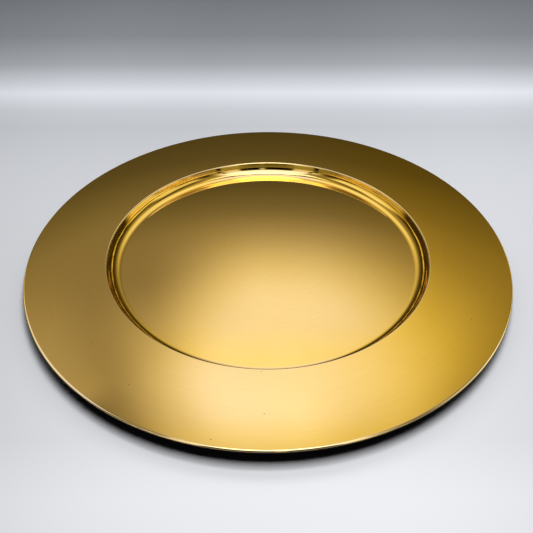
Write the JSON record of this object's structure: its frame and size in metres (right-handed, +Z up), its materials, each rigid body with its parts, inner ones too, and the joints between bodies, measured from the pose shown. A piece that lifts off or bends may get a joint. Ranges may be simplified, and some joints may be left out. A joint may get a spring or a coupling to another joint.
{
  "type": "serving plate",
  "caption": "Round gold-tone metal charger plate with a shallow recessed well, a wide gently rising rim and an edge rolled round a stiffening wire.",
  "frame": {"origin": "centre of the flat underside of the well, on the surface that the plate stands on", "axes": "+Z up along the plate's round axis, X and Y level, with -Y towards the viewer of the picture"},
  "size_m": [0.33, 0.33, 0.0117],
  "materials": {
    "gold_plating": "mirror-polished gold-tone plating",
    "steel_wire": "bright drawn wire"
  },
  "bodies": {
    "root": {"plate_pressing": "gold_plating", "rim_wire": "steel_wire"}
  },
  "joints": []
}
